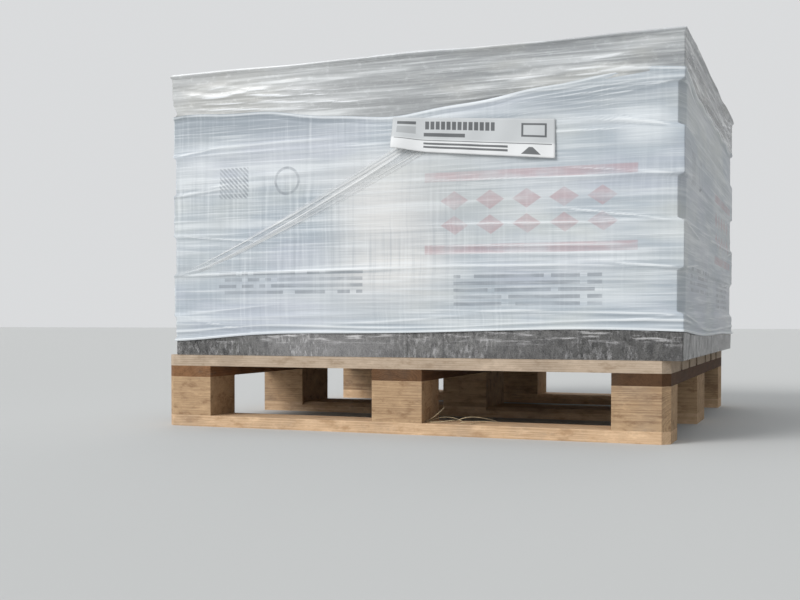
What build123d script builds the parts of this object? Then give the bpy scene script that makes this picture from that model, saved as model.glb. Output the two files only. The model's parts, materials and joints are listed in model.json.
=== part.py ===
from build123d import *
import os

# A pallet of grey concrete paving stones, held together by stretch film, in millimetres.
# +X runs to the right along the front, the front is at -Y and +Z is up.
# The origin is the middle of the pallet's footprint, on the floor.

# Pallet: deck boards on stringers, stringers on blocks, blocks on bottom boards
pallet_margin = 1.5
deck_thickness = 22.0
stringer_thickness = 22.0
block_height = 78.0
bottom_thickness = 22.0
wide_deck_board = 145.0
narrow_deck_board = 95.0
block_width = 100.0
outer_block_depth = 100.0
centre_block_depth = 145.0
corner_cut = 14.0
ramp_run = 14.0
ramp_drop = 8.0

# Stones, laid in nearly square courses that are turned a quarter from one to the next
stone_width = 247.0
stone_surplus = 2.5
stone_height = 80.0
stone_chamfer = 4.0
stone_joint = 1.3
lengthwise_count = 2
course_count = 7
course_shift_x = 4.5
course_shift_y = 3.0
load_offset = 17.5

# Film, and the label on it
film_thickness = 1.0
film_clearance = 0.3
film_slope = 12.0
top_lap = 120.0
lap_corner = 150.0
printed_height = 442.0
printed_below_top = 81.0
label_width = 297.0
label_height = 74.0
label_thickness = 0.5
label_x = 150.0
label_below_top = 152.0
label_tilt = 6.0

# A stone is as long as two stones and their joint are wide, and a little surplus
stone_length = 2 * stone_width + stone_joint + stone_surplus
crosswise_count = 2 * lengthwise_count
lengthwise_span = lengthwise_count * stone_length + (lengthwise_count - 1) * stone_joint
crosswise_span = crosswise_count * stone_width + (crosswise_count - 1) * stone_joint
pallet_width = lengthwise_span + 2 * pallet_margin
pallet_depth = lengthwise_span + 2 * pallet_margin

# Levels that follow from the sizes above
block_base = bottom_thickness
stringer_base = block_base + block_height
deck_base = stringer_base + stringer_thickness
deck_top = deck_base + deck_thickness
load_top = deck_top + course_count * stone_height
printed_top = load_top - printed_below_top
printed_base = printed_top - printed_height

# How far each film lies out from the stones: the clear one next to them, the printed one on it
clear_film = film_clearance
printed_film = clear_film + film_thickness + film_clearance


def box_between(low, high):
    """A box from one corner to the opposite one."""
    size = [high[i] - low[i] for i in range(3)]
    middle = [(high[i] + low[i]) / 2 for i in range(3)]
    return Pos(*middle) * Box(*size)


def row_centres(sizes, span):
    """Middles of pieces that fill a span from edge to edge with equal gaps."""
    gap = (span - sum(sizes)) / (len(sizes) - 1)
    start = -span / 2
    centres = []
    for size in sizes:
        centres.append(start + size / 2)
        start += size + gap
    return centres


# Rows of the pallet, from left to right and from front to rear
block_columns = dict(zip(("left", "centre", "right"), row_centres([block_width] * 3, pallet_width)))
block_depths = {"front": outer_block_depth, "middle": centre_block_depth, "rear": outer_block_depth}
block_rows = dict(zip(block_depths, row_centres(list(block_depths.values()), pallet_depth)))


def pallet_piece(low, high):
    """A board or block from one corner to the opposite one, trimmed where a pallet corner is cut off."""
    outline = chamfer(Rectangle(pallet_width, pallet_depth).vertices(), corner_cut)
    return box_between(low, high) & extrude(outline, deck_top)


def deck_boards():
    """Seven boards along X, the wide ones over the rows of blocks."""
    widths = [wide_deck_board, narrow_deck_board, narrow_deck_board] * 2 + [wide_deck_board]
    boards = {}
    for number, (width, y) in enumerate(zip(widths, row_centres(widths, pallet_depth)), start=1):
        low = (-pallet_width / 2, y - width / 2, deck_base)
        high = (pallet_width / 2, y + width / 2, deck_top)
        boards[f"deck_board_{number}"] = pallet_piece(low, high)
    return boards


def stringers():
    """Three boards from front to rear, under the deck and on the blocks."""
    pieces = {}
    for side, x in block_columns.items():
        low = (x - block_width / 2, -pallet_depth / 2, stringer_base)
        high = (x + block_width / 2, pallet_depth / 2, deck_base)
        pieces[f"stringer_{side}"] = pallet_piece(low, high)
    return pieces


def blocks():
    """Nine blocks, with the middle row's longer from front to rear."""
    pieces = {}
    for row, y in block_rows.items():
        for side, x in block_columns.items():
            half_depth = block_depths[row] / 2
            low = (x - block_width / 2, y - half_depth, block_base)
            high = (x + block_width / 2, y + half_depth, stringer_base)
            pieces[f"block_{row}_{side}"] = pallet_piece(low, high)
    return pieces


def wheel_ramp(board_edge, inward, x_start, x_end):
    """A wedge that bevels a bottom board's upper edge between two blocks, for pallet truck wheels."""
    top = bottom_thickness
    corners = [(board_edge, top - ramp_drop), (board_edge, top), (board_edge + inward * ramp_run, top)]
    wedge = extrude(Plane.YZ * make_face(Polyline(*corners, close=True)), x_end - x_start)
    return Pos(x_start, 0, 0) * wedge


def bottom_boards():
    """Three boards along X under the blocks, bevelled in the fork openings on their inner edges."""
    pieces = {}
    columns = list(block_columns.values())
    bays = [(left + block_width / 2, right - block_width / 2) for left, right in zip(columns, columns[1:])]
    for row, y in block_rows.items():
        half_depth = block_depths[row] / 2
        low = (-pallet_width / 2, y - half_depth, 0)
        high = (pallet_width / 2, y + half_depth, bottom_thickness)
        board = pallet_piece(low, high)
        for x_start, x_end in bays:
            if row != "front":
                board -= wheel_ramp(y - half_depth, 1, x_start, x_end)
            if row != "rear":
                board -= wheel_ramp(y + half_depth, -1, x_start, x_end)
        pieces[f"bottom_board_{row}"] = board
    return pieces


def paving_stone(size_x, size_y):
    """One stone standing on z = 0, with a chamfer round its upper face."""
    stone = Pos(0, 0, stone_height / 2) * Box(size_x, size_y, stone_height)
    upper_edges = stone.faces().sort_by(Axis.Z)[-1].edges()
    return chamfer(upper_edges, stone_chamfer)


def course_plan(course):
    """Size and count of a course's stones along X and along Y."""
    lengthwise = (stone_length, lengthwise_count)
    crosswise = (stone_width, crosswise_count)
    return (lengthwise, crosswise) if course % 2 else (crosswise, lengthwise)


def course_spans(course):
    """How wide and how deep a course is."""
    return (lengthwise_span, crosswise_span) if course % 2 else (crosswise_span, lengthwise_span)


def course_middle(course):
    """Where a course's middle lies: the courses stand a little to and fro, and the load a little right."""
    side = 1 if course % 2 else -1
    return load_offset + side * course_shift_x, -side * course_shift_y


def stone_courses():
    """Each course is one node, whose stones stand apart by their joints."""
    courses = {}
    for course in range(1, course_count + 1):
        (size_x, count_x), (size_y, count_y) = course_plan(course)
        stone = paving_stone(size_x, size_y)
        base = Pos(*course_middle(course), deck_top + (course - 1) * stone_height)
        grid = GridLocations(size_x + stone_joint, size_y + stone_joint, count_x, count_y)
        courses[f"stone_course_{course}"] = Compound(children=[base * spot * stone for spot in grid])
    return courses


def film_line(reaches, top):
    """How far out a taut film lies, from the deck up to its top, over courses that reach out unequally.
    It runs straight up each course and slopes back from the edge of one that stands out."""
    points = [(reaches[0], deck_top)]
    for course, (lower, upper) in enumerate(zip(reaches, reaches[1:]), start=1):
        level = deck_top + course * stone_height
        if upper > lower:
            points += [(lower, level - film_slope), (upper, level)]
        elif upper < lower:
            points += [(lower, level), (upper, level + film_slope)]
    points.append((reaches[-1], top))
    return points


def side_profile(spans, middles, offset):
    """Outline of the load from one side, this far outside its stones."""
    top = load_top + offset
    high = film_line([span / 2 + middle + offset for span, middle in zip(spans, middles)], top)
    low = film_line([span / 2 - middle + offset for span, middle in zip(spans, middles)], top)
    return make_face(Polyline(*high, *[(-out, level) for out, level in reversed(low)], close=True))


def envelope(offset):
    """The space inside a film that lies this far outside the stones."""
    courses = range(1, course_count + 1)
    spans_x, spans_y = zip(*[course_spans(course) for course in courses])
    middles_x, middles_y = zip(*[course_middle(course) for course in courses])
    seen_from_front = extrude(Plane.XZ * side_profile(spans_x, middles_x, offset), pallet_depth, both=True)
    seen_from_side = extrude(Plane.YZ * side_profile(spans_y, middles_y, offset), pallet_width, both=True)
    return seen_from_front & seen_from_side


def film_round_load(offset):
    """A film round the sides and over the top of the load, open below."""
    return envelope(offset + film_thickness) - envelope(offset)


def clear_wrap():
    """Clear film from the deck up, drawn in over the rim of the top course and open in the middle."""
    width, depth = [span - 2 * top_lap for span in course_spans(course_count)]
    opening = extrude(RectangleRounded(width, depth, lap_corner), stone_height)
    return film_round_load(clear_film) - Pos(*course_middle(course_count), load_top) * opening


def printed_wrap():
    """A band of white film round the middle courses, over the clear one."""
    low = (-pallet_width, -pallet_depth, printed_base)
    high = (pallet_width, pallet_depth, printed_top)
    return film_round_load(printed_film) & box_between(low, high)


def paper_label():
    """A strip of paper on the front of the printed wrap, hanging a little askew."""
    foremost = max(course_spans(course)[1] / 2 - course_middle(course)[1] for course in (1, 2))
    y = -foremost - printed_film - film_thickness - label_thickness / 2
    strip = Rot(0, label_tilt, 0) * Box(label_width, label_thickness, label_height)
    return Pos(label_x, y, load_top - label_below_top) * strip


films = {"clear_wrap": clear_wrap(), "printed_wrap": printed_wrap(), "label": paper_label()}
parts = deck_boards() | stringers() | blocks() | bottom_boards() | stone_courses() | films

os.makedirs("parts", exist_ok=True)
for name, shape in parts.items():
    export_step(shape, f"parts/{name}.step")
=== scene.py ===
# %% [markdown]
# # A loaded pallet of paving stones
#
# This lesson dresses a pallet of concrete paving stones for a picture: sawn wood, rough stone,
# clear stretch film, and a band of white printed film with a paper label on it.
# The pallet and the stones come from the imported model, at their real size and place. Blender
# gives them their surfaces, and it makes the films again as thin, creased sheets.

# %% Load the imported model
import bpy
import json
import math
import numpy as np
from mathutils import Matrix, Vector

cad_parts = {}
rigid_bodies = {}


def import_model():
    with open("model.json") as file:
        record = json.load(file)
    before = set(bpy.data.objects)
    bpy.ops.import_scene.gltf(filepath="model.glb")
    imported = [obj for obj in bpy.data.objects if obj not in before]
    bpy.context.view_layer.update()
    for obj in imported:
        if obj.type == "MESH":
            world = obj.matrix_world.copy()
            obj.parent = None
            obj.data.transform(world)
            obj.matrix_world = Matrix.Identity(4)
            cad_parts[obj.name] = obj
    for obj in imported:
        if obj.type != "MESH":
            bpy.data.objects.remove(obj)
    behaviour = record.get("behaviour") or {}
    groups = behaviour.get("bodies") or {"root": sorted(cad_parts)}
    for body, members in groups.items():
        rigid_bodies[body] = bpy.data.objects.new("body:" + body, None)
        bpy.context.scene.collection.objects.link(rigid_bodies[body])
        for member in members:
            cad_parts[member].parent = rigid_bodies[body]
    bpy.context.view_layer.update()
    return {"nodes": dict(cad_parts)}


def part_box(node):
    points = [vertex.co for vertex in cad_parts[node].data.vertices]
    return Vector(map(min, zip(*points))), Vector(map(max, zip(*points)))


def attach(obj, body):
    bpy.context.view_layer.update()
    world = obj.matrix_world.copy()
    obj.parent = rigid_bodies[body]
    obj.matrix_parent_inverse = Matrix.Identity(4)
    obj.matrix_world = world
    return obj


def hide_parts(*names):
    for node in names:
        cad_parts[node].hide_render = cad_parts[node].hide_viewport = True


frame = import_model()
nodes = sorted(frame["nodes"])

# %% [markdown]
# ## Where the camera stands
#
# The photo looks at the front a little from the right, from just above the pallet's deck, about
# two metres away. A camera at the same spot, turned the same way, gives the same perspective.
# The photo shows the pallet small, so a longer lens frames it closer from there: a lens changes
# how much is seen, but not how lines run together, which depends on the spot and the turn. The
# small shift slides the picture on the sensor, so upright edges stay upright.

# %% Camera
camera_spot = (0.750, -2.474, 0.212)
turned_left = math.radians(22.25)
tilted_down = math.radians(1.36)
lens_mm = 50.7

camera = bpy.data.objects.new("camera", bpy.data.cameras.new("camera"))
bpy.context.collection.objects.link(camera)
camera.location = camera_spot
camera.rotation_euler = (math.pi / 2 - tilted_down, 0, turned_left)
camera.data.lens = lens_mm
camera.data.sensor_width = 36.0
camera.data.shift_x = 0.04
camera.data.shift_y = 0.06
bpy.context.scene.camera = camera

# %% [markdown]
# ## Recipes made of nodes
#
# Every surface here is painted by nodes, and so is the sky. Pictures could do it too, but each
# piece would need its own, while a formula in nodes fits every piece and stays sharp from near
# by. A recipe is one tree of nodes, and a few plain words keep it readable: plus, minus and times
# do sums, noise makes a pattern that can be drawn out along a board or a film, ramp and band pick
# out a range of numbers, and paint lays colours over each other, each as strongly as its own
# number says.

# %% Node helpers
class Recipe:
    """A tree of nodes that is being put together."""

    def __init__(self, tree):
        self.tree = tree
        tree.nodes.clear()

    def node(self, kind, inputs=None, **settings):
        """Adds a node. An input is a plain value, or another node's output to link."""
        made = self.tree.nodes.new("ShaderNode" + kind)
        for key, value in settings.items():
            setattr(made, key, value)
        for key, value in (inputs or {}).items():
            if isinstance(value, bpy.types.NodeSocket):
                self.tree.links.new(value, made.inputs[key])
            else:
                made.inputs[key].default_value = value
        return made

    def calc(self, operation, *values, clamp=False):
        """Arithmetic on numbers and outputs."""
        return self.node("Math", dict(enumerate(values)), operation=operation, use_clamp=clamp).outputs[0]

    def minus(self, first, second, clamp=False):
        """The first number without the second."""
        return self.calc("SUBTRACT", first, second, clamp=clamp)

    def plus(self, total, *others, clamp=False):
        """All these numbers added up, and held between 0 and 1 at the end if clamp is set."""
        for number in others:
            total = self.calc("ADD", total, number)
        total.node.use_clamp = clamp
        return total

    def times(self, product, *others):
        """All these numbers multiplied together."""
        for number in others:
            product = self.calc("MULTIPLY", product, number)
        return product

    def noise(self, place, scale, detail=3.0, roughness=0.55, shift=(0, 0, 0), turn=0.0):
        """Noise whose grain is drawn out along an axis by a small scale there."""
        scale = (scale,) * 3 if isinstance(scale, float) else (*scale, 1.0)[:3]
        mapped = self.node("Mapping", {"Vector": place, "Location": (*shift, 0)[:3], "Scale": scale,
                                       "Rotation": (0, 0, turn)})
        made = self.node("TexNoise", {"Vector": mapped.outputs[0], "Scale": 1.0, "Detail": detail,
                                      "Roughness": roughness})
        return made.outputs["Fac"]

    def ramp(self, value, low, high, to_low=0.0, to_high=1.0, smooth=True):
        """Maps a number's range to another, held at both ends."""
        kind = "SMOOTHSTEP" if smooth else "LINEAR"
        numbers = {"Value": value, "From Min": low, "From Max": high, "To Min": to_low, "To Max": to_high}
        return self.node("MapRange", numbers, interpolation_type=kind).outputs[0]

    def band(self, value, low, high, soft=0.0012):
        """1 where a number lies from low to high and 0 elsewhere, with soft edges."""
        rise = self.ramp(value, low - soft, low + soft)
        fall = self.ramp(value, high - soft, high + soft, 1.0, 0.0)
        return self.times(rise, fall)

    def patch(self, u, v, u_range, v_range, soft_u=0.0012, soft_v=0.0012):
        """1 inside a rectangle and 0 outside, with soft edges."""
        return self.times(self.band(u, *u_range, soft_u), self.band(v, *v_range, soft_v))

    def cells(self, value, size):
        """How far a number is from the middle of its cell, from 0 to 0.5, where cells have this size."""
        return self.calc("ABSOLUTE", self.minus(self.calc("FRACT", self.calc("DIVIDE", value, size)), 0.5))

    def paint(self, colour, *layers):
        """A colour with others laid over it. A layer is how strong it is, from 0 to 1, and its colour."""
        for share, above in layers:
            first, second = [(*c, 1) if isinstance(c, tuple) else c for c in (colour, above)]
            mixed = self.node("Mix", {0: share, 6: first, 7: second}, data_type="RGBA", clamp_factor=True)
            colour = mixed.outputs[2]
        return colour

    def surface(self, colour, roughness, gleam=0.5, metal=0.0, bump=None):
        """A surface shader. A bump is a height, its strength and how deep it goes in metres."""
        inputs = {"Base Color": colour, "Roughness": roughness, "Metallic": metal,
                  "Specular IOR Level": gleam}
        if bump is not None:
            height, strength, deep = bump
            relief = self.node("Bump", {"Height": height, "Strength": strength, "Distance": deep})
            inputs["Normal"] = relief.outputs[0]
        return self.node("BsdfPrincipled", inputs).outputs[0]

    def covering(self, share, shader):
        """A shader that covers this share of a surface, which is clear elsewhere."""
        clear_part = self.node("BsdfTransparent").outputs[0]
        return self.node("MixShader", {0: share, 1: clear_part, 2: shader}).outputs[0]

    def show(self, shader, kind="OutputMaterial"):
        """Makes this shader the recipe's result."""
        self.node(kind, {0: shader})


def new_recipe(name):
    """An empty node material, and the recipe that fills it."""
    material = bpy.data.materials.new(name)
    material.use_nodes = True
    return material, Recipe(material.node_tree)


print("node helpers ready")

# %% [markdown]
# ## Floor and light
#
# The load stands on a plain pale floor under soft light. A sun with a wide disc stands in for
# the photo's bright sky in front and to the left, so the front is the bright side and the right
# side is in soft shade, and a weaker sun lights the rear. The sky fills the rest, and it is
# brighter on the front and left too. A light path node tells what a ray of light is for: where
# it makes the picture itself, straight or by way of a gleam, the sky is plain pale grey.

# %% Floor
floor_grey = (0.54, 0.54, 0.53)
floor_half = 30.0
floor_mesh = bpy.data.meshes.new("floor")
floor_corners = [(-floor_half, -floor_half, 0), (floor_half, -floor_half, 0),
                 (floor_half, floor_half, 0), (-floor_half, floor_half, 0)]
floor_mesh.from_pydata(floor_corners, [], [(0, 1, 2, 3)])
floor = bpy.data.objects.new("floor", floor_mesh)
bpy.context.collection.objects.link(floor)
floor_surface, pale = new_recipe("pale_floor")
pale.show(pale.surface((*floor_grey, 1), 0.9))
floor_mesh.materials.append(floor_surface)
print("the floor is", 2 * floor_half, "m wide")

# %% Sky
sky_seen = (0.70, 0.71, 0.72)
sky_light = (0.93, 0.97, 1.0)
brightest_way = (-0.55, -0.60, 0.58)
shade_strength, open_strength = 0.15, 0.92

world = bpy.data.worlds.new("sky")
world.use_nodes = True
bpy.context.scene.world = world
sky = Recipe(world.node_tree)
ray = sky.node("LightPath").outputs
seen = sky.calc("MAXIMUM", ray["Is Camera Ray"], ray["Is Transmission Ray"])
seen = sky.calc("MAXIMUM", seen, ray["Is Glossy Ray"])
way = sky.node("TexCoord").outputs["Generated"]
facing = sky.node("VectorMath", {0: way, 1: brightest_way}, operation="DOT_PRODUCT").outputs["Value"]
strength = sky.ramp(facing, -0.4, 0.9, shade_strength, open_strength, smooth=False)
lit = sky.node("Background", {"Color": (*sky_light, 1), "Strength": strength})
shown = sky.node("Background", {"Color": (*sky_seen, 1)})
either = sky.node("MixShader", {0: seen, 1: lit.outputs[0], 2: shown.outputs[0]})
sky.show(either.outputs[0], "OutputWorld")
print("the sky's light goes from", shade_strength, "to", open_strength)

# %% Suns
def add_sun(name, towards, strength, disc_degrees):
    """A sun lamp that shines in this direction, with a disc this wide for soft shadows."""
    lamp = bpy.data.lights.new(name, "SUN")
    lamp.energy = strength
    lamp.angle = math.radians(disc_degrees)
    holder = bpy.data.objects.new(name, lamp)
    holder.rotation_euler = Vector(towards).to_track_quat("-Z", "Y").to_euler()
    bpy.context.collection.objects.link(holder)


add_sun("bright_sky", (0.50, 0.70, -0.62), 1.9, 30)
add_sun("back_light", (0.10, -0.80, -0.60), 0.5, 50)
bpy.context.scene.view_settings.view_transform = "Standard"
print("stage ready: floor, sky and two soft suns")

# %% [markdown]
# ## Sawn pine
#
# The pallet is softwood straight from the saw. Noise drawn out along a board looks like grain on
# its faces, but not on its ends. A board is a slice of a trunk, so its pattern can be had by
# slicing one: year rings are distances from the trunk's heart, which lies some way off the
# board. The rings run out into long lines on the faces and bend into arcs on the sawn ends, from
# one formula. Each board gets a heart, a tone and a wander of its own, and fine fibres, dust and
# weathered patches lie over the rings. The stringers' colour and tones are much darker, and
# darker from left to right: that is painted shade under the deck.

# %% Wood
pine = {
    "deck_board": ((0.54, 0.425, 0.320), (0.34, 0.245, 0.165)),
    "bottom_board": ((0.68, 0.475, 0.300), (0.41, 0.250, 0.135)),
    "block": ((0.54, 0.365, 0.215), (0.26, 0.150, 0.080)),
    # The stringers are painted far darker than their wood: painted shade under the deck.
    "stringer": ((0.165, 0.082, 0.038), (0.085, 0.040, 0.018)),
}
pine_worn = (0.29, 0.235, 0.185)
ring_width = 0.0036


def year_rings(wood, place, grain, name, along, seed):
    """The dark late wood of the year rings, from 0 to 1, for a board with its grain along an axis."""
    low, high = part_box(name)
    heart = [(low[i] + high[i]) / 2 for i in range(3)]
    up, across = 2, 1 - along
    heart[up] -= 0.045 + 0.030 * math.sin(seed * 1.7)
    heart[across] += 0.035 * math.sin(seed * 2.9)
    axes = wood.node("SeparateXYZ", {0: place}).outputs
    wander = wood.times(wood.minus(grain(16.0, detail=2.0), 0.5), 0.045)
    side = wood.plus(wood.minus(axes[across], heart[across]), wander)
    height = wood.plus(wood.minus(axes[up], heart[up]), wander)
    radius = wood.calc("SQRT", wood.plus(wood.times(side, side), wood.times(height, height)))
    outwards = wood.node("CombineXYZ", {0: radius}).outputs[0]
    uneven = wood.noise(outwards, (130.0, 1.0), detail=1.0, shift=(seed * 3.7, seed * 1.9, seed * 5.3))
    width = ring_width * (1 + 0.25 * math.sin(seed * 4.1))
    years = wood.plus(wood.calc("DIVIDE", radius, width), wood.times(uneven, 3.0))
    year = wood.calc("FRACT", years)
    return wood.times(wood.ramp(year, 0.25, 0.86), wood.ramp(year, 0.90, 1.0, 1.0, 0.0))


def sawn_pine(name, kind, along, tone, seed):
    """Pine with its grain along axis 0 or 1, lighter or darker by tone, which paints shade on stringers."""
    material, wood = new_recipe(f"pine_{name}")
    place = wood.node("TexCoord").outputs["Object"]
    shift = (seed * 3.7, seed * 1.9, seed * 5.3)

    def grain(scale, **settings):
        squeeze = [scale, scale, scale]
        squeeze[along] = scale * 0.045
        return wood.noise(place, squeeze, shift=shift, **settings)

    rings = year_rings(wood, place, grain, name, along, seed)
    fibres = grain(460.0, detail=4.0, roughness=0.7)
    blotches = wood.noise(place, 9.0, detail=4.0, shift=shift)
    dust = wood.noise(place, (31.0, 31.0, 60.0), detail=5.0, roughness=0.65, shift=shift)
    mottle_scale, saw_scale = [48.0, 48.0, 60.0], [160.0, 160.0, 30.0]
    mottle_scale[along], saw_scale[along] = 26.0, 3.0
    mottle = wood.noise(place, mottle_scale, detail=5.0, roughness=0.7, shift=shift)
    saw = wood.noise(place, saw_scale, detail=1.0)

    pale, dark = [tuple(c * tone for c in colour) for colour in pine[kind]]
    fresh = tuple(c * 1.22 for c in pale)
    worn = tuple(c * min(1.0, 3 * pale[0]) for c in pine_worn)
    colour = wood.paint(
        pale,
        (wood.times(rings, wood.ramp(blotches, 0.35, 0.65, 0.12, 0.62)), dark),
        (wood.ramp(fibres, 0.35, 0.75, 0.0, 0.45), dark),
        (wood.ramp(mottle, 0.50, 0.68, 0.0, 0.75), dark),
        (wood.ramp(mottle, 0.47, 0.30, 0.0, 0.60), fresh),
        (wood.ramp(blotches, 0.50, 0.74, 0.0, 0.30), worn),
        (wood.ramp(dust, 0.58, 0.78, 0.0, 0.40), worn),
    )
    relief = wood.plus(wood.times(fibres, 0.7), wood.times(rings, 0.2), wood.times(saw, 0.25))
    wood.show(wood.surface(colour, 0.82, gleam=0.25, bump=(relief, 0.6, 0.0012)))
    return material


# %% Wood on the boards and blocks
grain_of = {"deck_board": 0, "bottom_board": 0, "stringer": 1, "block": 0}
# The stringers' tones paint shade too, lighter at the left and darker to the right.
tone_and_shade_of = {"stringer_left": 1.6, "stringer_centre": 0.90, "stringer_right": 0.60,
           "block_front_left": 0.96, "block_front_centre": 0.94}


def cover(name, material):
    """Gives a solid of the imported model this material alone."""
    bpy.data.objects[name].data.materials.clear()
    bpy.data.objects[name].data.materials.append(material)


wooden = [name for name in nodes if name.startswith(tuple(grain_of))]
for seed, name in enumerate(wooden):
    kind = next(k for k in grain_of if name.startswith(k))
    tone = tone_and_shade_of.get(name, 1.0 + 0.07 * math.sin(seed * 2.4))
    cover(name, sawn_pine(name, kind, grain_of[kind], tone, seed))
print(len(wooden), "pieces of sawn pine")

# %% [markdown]
# ## Concrete
#
# The stones are pressed from dry concrete, so a face is a rough crust of grit with small pores,
# and no two stones of a batch have quite the same grey. Grit in the mesh would take millions of
# faces, so it is noise of several sizes, in the colour and in the bump. Each stone of a course is
# a body of its own, so the geometry node's number for each island gives each one its own shade.

# %% Stone
concrete_grey = (0.235, 0.228, 0.220)
concrete_pale = (0.330, 0.322, 0.310)
concrete_pore = (0.060, 0.058, 0.057)


def pressed_concrete():
    """Grey concrete with grit, pores and a shade for each stone."""
    material, stone = new_recipe("pressed_concrete")
    place = stone.node("TexCoord").outputs["Object"]
    each = stone.node("NewGeometry").outputs["Random Per Island"]
    clouds = stone.noise(place, 11.0, detail=4.0)
    crust = stone.noise(place, 75.0, detail=5.0, roughness=0.7, shift=(3, 1, 2))
    grit = stone.noise(place, 520.0, roughness=0.7)
    pores = stone.node("TexVoronoi", {"Vector": place, "Scale": 260.0, "Randomness": 1.0}).outputs[0]
    some = stone.ramp(stone.noise(place, 90.0), 0.45, 0.60)
    pits = stone.times(stone.ramp(pores, 0.05, 0.26, 1.0, 0.0), some)
    colour = stone.paint(
        concrete_grey,
        (stone.ramp(clouds, 0.3, 0.7), concrete_pale),
        (stone.ramp(crust, 0.52, 0.66, 0.0, 0.45), concrete_pale),
        (stone.ramp(crust, 0.36, 0.47, 0.35, 0.0), concrete_pore),
        (stone.ramp(grit, 0.34, 0.49, 0.60, 0.0), concrete_pore),
        (stone.ramp(grit, 0.52, 0.68, 0.0, 0.60), concrete_pale),
    )
    shade = stone.ramp(each, 0.0, 1.0, 0.83, 1.17, smooth=False)
    shaded = stone.node("HueSaturation", {"Color": colour, "Value": shade}).outputs[0]
    colour = stone.paint(shaded, (stone.times(pits, 0.7), concrete_pore))
    height = stone.minus(stone.times(grit, 0.6), pits)
    stone.show(stone.surface(colour, 0.9, gleam=0.2, bump=(height, 0.7, 0.0008)))
    return material


stone_surface = pressed_concrete()
course_names = sorted(name for name in nodes if name.startswith("stone_course"))
for name in course_names:
    cover(name, stone_surface)
print(len(course_names), "courses of concrete")

# %% [markdown]
# ## Nails and straw
#
# Three nails hold each block to its bottom board. Their heads are driven flush, so they only
# show from below, as small discs of dull steel. A few dry straws have caught in the right fork
# opening. Painted on, they would have no edge and no shadow, so both are small meshes: two rings
# of corners for each head, and a tube of five sides that tapers along a bent line for each straw.

# %% Nail heads
def small_mesh(name, corners, faces, material):
    """A mesh piece from lists, smooth, riding with the pallet."""
    mesh = bpy.data.meshes.new(name)
    mesh.from_pydata(corners, [], faces)
    mesh.polygons.foreach_set("use_smooth", np.ones(len(faces), bool))
    mesh.materials.append(material)
    piece = bpy.data.objects.new(name, mesh)
    bpy.context.collection.objects.link(piece)
    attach(piece, "root")


steel_grey = (0.34, 0.34, 0.34)
rust_brown = (0.20, 0.10, 0.055)


def dull_steel():
    """Bright nail steel gone dull, with brown specks."""
    material, steel = new_recipe("nail_steel")
    place = steel.node("TexCoord").outputs["Object"]
    rust = steel.ramp(steel.noise(place, 600.0, detail=4.0), 0.48, 0.62)
    colour = steel.paint(steel_grey, (rust, rust_brown))
    steel.show(steel.surface(colour, steel.ramp(rust, 0.0, 1.0, 0.40, 0.85), metal=0.8))
    return material


head_sides, head_radius = 14, 0.0042
head_low, head_edge = -0.0004, 0.0002
head_spots = ((-0.027, -0.024), (0.025, 0.003), (-0.022, 0.027))
angles = [2 * math.pi * number / head_sides for number in range(head_sides)]
corners, faces = [], []
for name in [n for n in nodes if n.startswith("block_")]:
    low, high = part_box(name)
    for off_x, off_y in head_spots:
        x, y = (low[0] + high[0]) / 2 + off_x, (low[1] + high[1]) / 2 + off_y
        first = len(corners)
        corners.append((x, y, head_low))
        for radius, z in ((0.75 * head_radius, head_low), (head_radius, head_edge)):
            corners += [(x + radius * math.cos(angle), y + radius * math.sin(angle), z) for angle in angles]
        for number in range(head_sides):
            here, after = first + 1 + number, first + 1 + (number + 1) % head_sides
            faces += [(first, after, here), (here, after, after + head_sides, here + head_sides)]
small_mesh("nail_heads", corners, faces, dull_steel())
print("nail heads:", len(corners) // (1 + 2 * head_sides))

# %% Straws
straws = [
    [(0.048, -0.470, 0.0232), (0.066, -0.482, 0.0290), (0.092, -0.493, 0.0520)],
    [(0.050, -0.478, 0.0230), (0.082, -0.500, 0.0240), (0.113, -0.488, 0.0300)],
    [(0.100, -0.440, 0.0230), (0.132, -0.462, 0.0420), (0.178, -0.430, 0.0230)],
    [(0.116, -0.474, 0.0230), (0.150, -0.458, 0.0290), (0.192, -0.446, 0.0230)],
    [(0.050, -0.455, 0.0230), (0.085, -0.440, 0.0390), (0.126, -0.472, 0.0230)],
    [(0.140, -0.486, 0.0230), (0.152, -0.470, 0.0250), (0.158, -0.440, 0.0230)],
]
straw_radius, straw_sides, straw_parts = 0.0009, 5, 16
straw_pale = (0.62, 0.50, 0.31)
straw_old = (0.36, 0.29, 0.19)


def dry_straw():
    """Straw gone pale and grey in places."""
    material, straw = new_recipe("dry_straw")
    place = straw.node("TexCoord").outputs["Object"]
    tone = straw.ramp(straw.noise(place, 140.0), 0.35, 0.65)
    straw.show(straw.surface(straw.paint(straw_pale, (tone, straw_old)), 0.6))
    return material


corners, faces = [], []
for start, middle, end in (np.array(line) for line in straws):
    first = len(corners)
    for step in np.linspace(0, 1, straw_parts + 1).tolist():
        centre = start * (1 - step) ** 2 + 2 * middle * step * (1 - step) + end * step**2
        way = Vector((middle - start) * (1 - step) + (end - middle) * step).normalized()
        aside = way.cross(Vector((0, 0, 1))).normalized()
        above = aside.cross(way)
        thick = straw_radius * (1.0 - 0.55 * step)
        for number in range(straw_sides):
            angle = 2 * math.pi * number / straw_sides
            corners.append(Vector(centre) + thick * (math.cos(angle) * aside + math.sin(angle) * above))
    for ring in range(first, first + straw_sides * straw_parts, straw_sides):
        for number in range(straw_sides):
            here, after = ring + number, ring + (number + 1) % straw_sides
            faces.append((here, after, after + straw_sides, here + straw_sides))
    faces.append(tuple(first + number for number in reversed(range(straw_sides))))
    faces.append(tuple(first + straw_sides * straw_parts + number for number in range(straw_sides)))
small_mesh("straws", corners, faces, dry_straw())
print("straws:", len(straws))

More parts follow.
